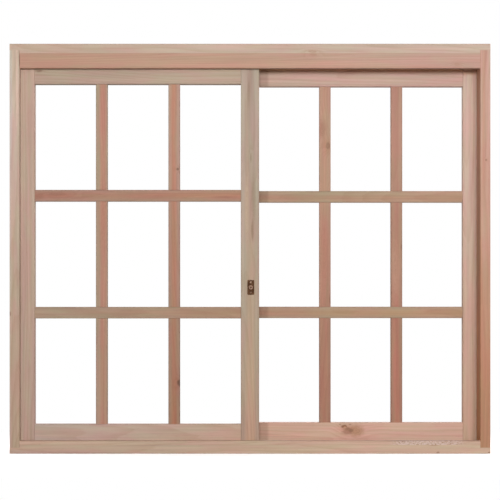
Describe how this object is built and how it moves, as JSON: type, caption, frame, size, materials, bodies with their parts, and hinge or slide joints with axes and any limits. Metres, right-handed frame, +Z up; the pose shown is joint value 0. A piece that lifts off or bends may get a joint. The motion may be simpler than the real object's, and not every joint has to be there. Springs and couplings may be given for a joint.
{
  "type": "sliding window",
  "caption": "Raw wooden sliding window: a ploughed frame in which glazing-bar sashes run past each other on track rails, with a small bronze latch on the meeting stile.",
  "frame": {"origin": "on the floor under the middle of the sill, halfway through the frame's depth", "axes": "+X to the right seen from the room, +Y outwards through the wall, +Z up"},
  "size_m": [1.2, 0.1, 1.023],
  "materials": {
    "frame_wood": "raw planed, unfinished",
    "sash_wood": "raw planed, unfinished",
    "bar_wood": "raw planed, unfinished",
    "track_aluminium": "mill finish",
    "latch_bronze": "dark bronzed",
    "latch_metal": "worn bronzed"
  },
  "bodies": {
    "frame": {"left_jamb": "frame_wood", "right_jamb": "frame_wood", "head_board": "frame_wood", "head_front_guide": "frame_wood", "head_parting_strip": "frame_wood", "head_rear_guide": "frame_wood", "sill_board": "frame_wood", "sill_front_lip": "frame_wood", "front_track_rail": "track_aluminium", "rear_track_rail": "track_aluminium"},
    "front_sash": {"front_sash_outer_stile": "sash_wood", "front_sash_meeting_stile": "sash_wood", "front_sash_top_rail": "sash_wood", "front_sash_bottom_rail": "sash_wood", "front_sash_upright_bar_1": "bar_wood", "front_sash_upright_bar_2": "bar_wood", "front_sash_cross_bar_1": "bar_wood", "front_sash_cross_bar_2": "bar_wood", "latch_plate": "latch_bronze", "latch_knob": "latch_metal"},
    "rear_sash": {"rear_sash_outer_stile": "sash_wood", "rear_sash_meeting_stile": "sash_wood", "rear_sash_top_rail": "sash_wood", "rear_sash_bottom_rail": "sash_wood", "rear_sash_upright_bar_1": "bar_wood", "rear_sash_upright_bar_2": "bar_wood", "rear_sash_cross_bar_1": "bar_wood", "rear_sash_cross_bar_2": "bar_wood"}
  },
  "joints": [
    {"name": "front_sash_slide", "type": "slide", "parent": "frame", "child": "front_sash", "axis": [1, 0, 0], "range_m": [0, 0.545]},
    {"name": "rear_sash_slide", "type": "slide", "parent": "frame", "child": "rear_sash", "axis": [-1, 0, 0], "range_m": [0, 0.545]}
  ]
}
